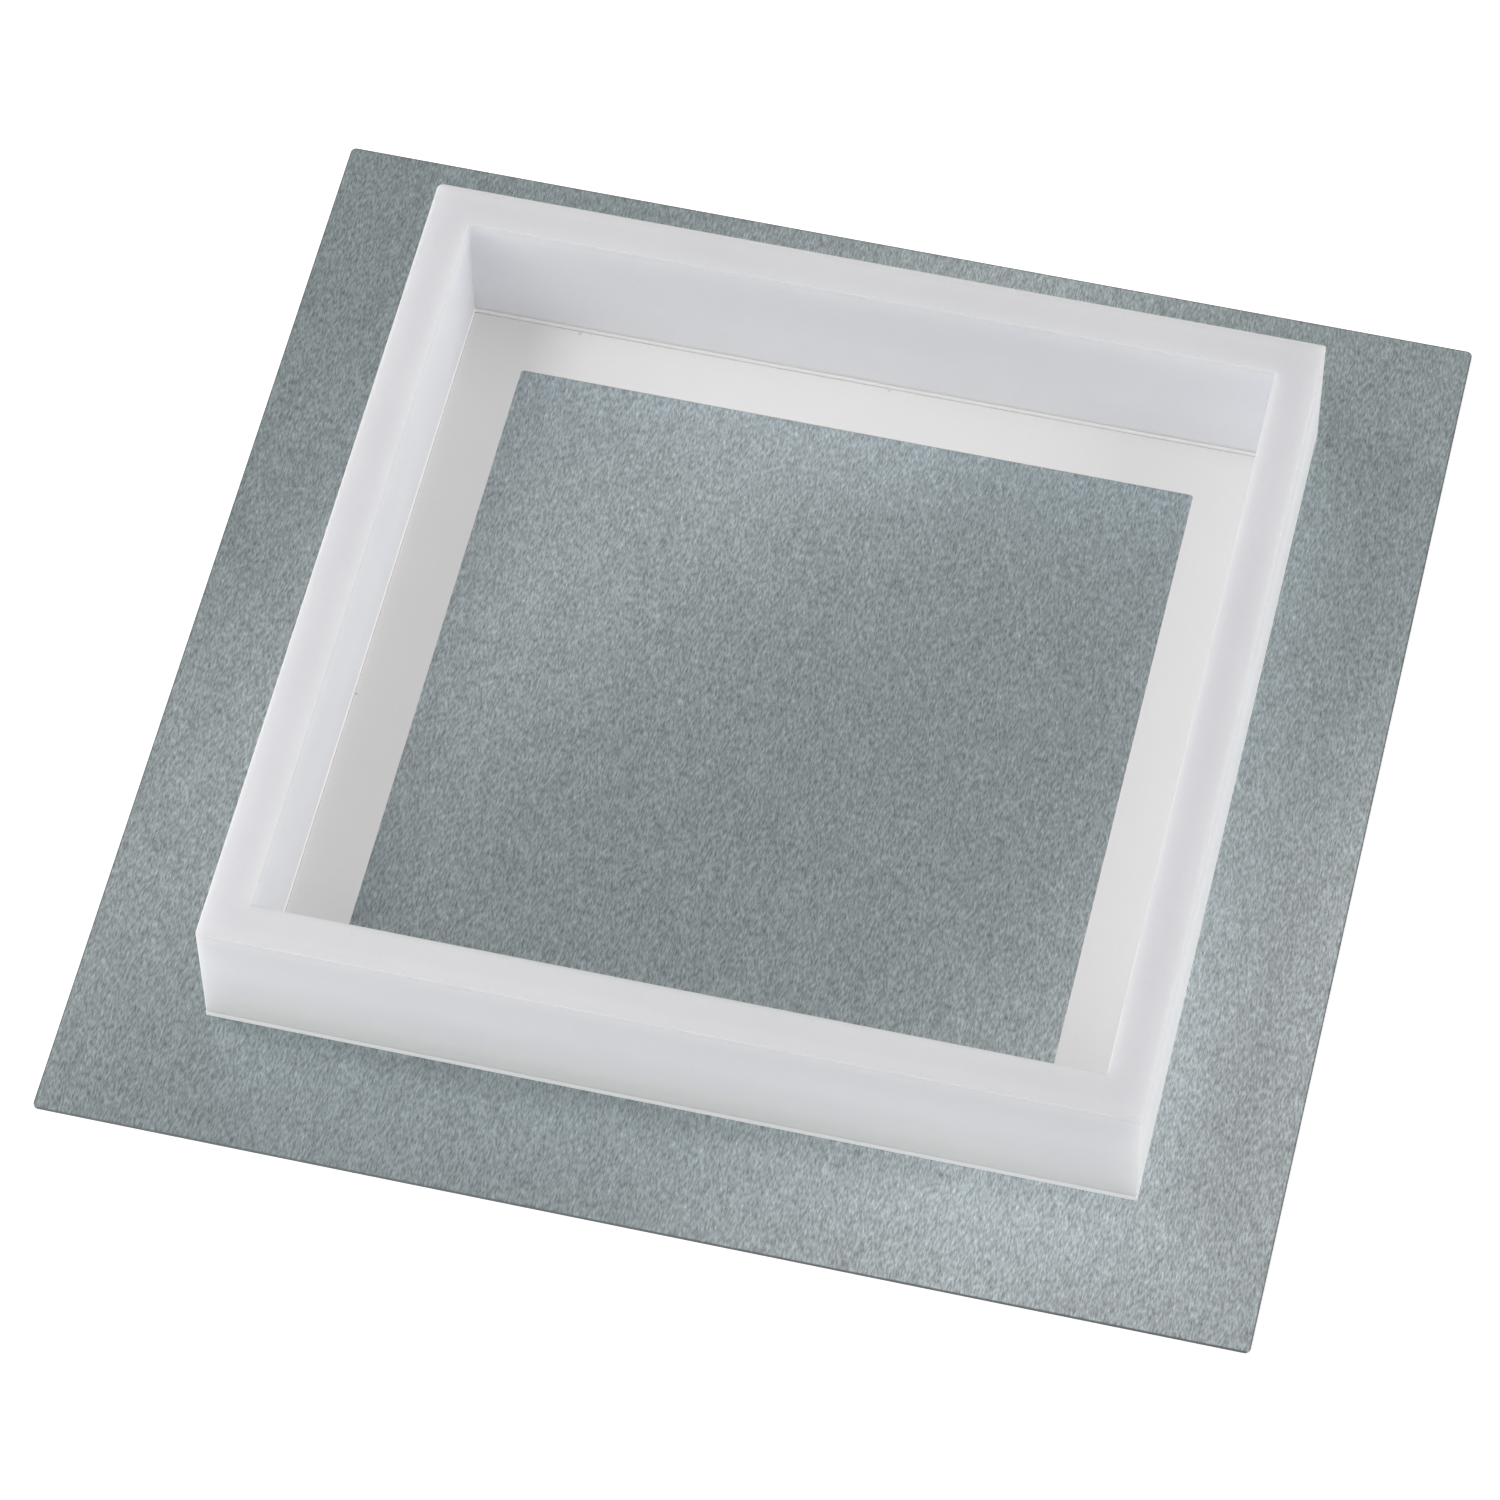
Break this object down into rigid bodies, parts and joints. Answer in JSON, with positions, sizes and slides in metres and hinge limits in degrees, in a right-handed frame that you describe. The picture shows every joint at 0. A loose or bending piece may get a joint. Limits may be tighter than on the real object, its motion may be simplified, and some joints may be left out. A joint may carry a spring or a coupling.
{
  "type": "shadow box",
  "caption": "Shallow open display box: a frosted translucent wall frame taped to a larger square sheet-metal back, with a white liner that has a square window.",
  "frame": {"origin": "middle of the backing plate's underside, on the surface that the part lies on", "axes": "+Z out of the back towards the viewer, +X to the right along the plate, +Y to the plate's far side"},
  "size_m": [0.3, 0.3, 0.0388],
  "materials": {
    "steel": "galvanised, fine satin grain",
    "resin": "frosted translucent",
    "liner": "matt white",
    "tape": "translucent white"
  },
  "bodies": {
    "root": {"backing_plate": "steel", "window_liner": "liner", "wall_frame": "resin", "tape_front": "tape", "tape_back": "tape", "tape_left": "tape", "tape_right": "tape"}
  },
  "joints": []
}
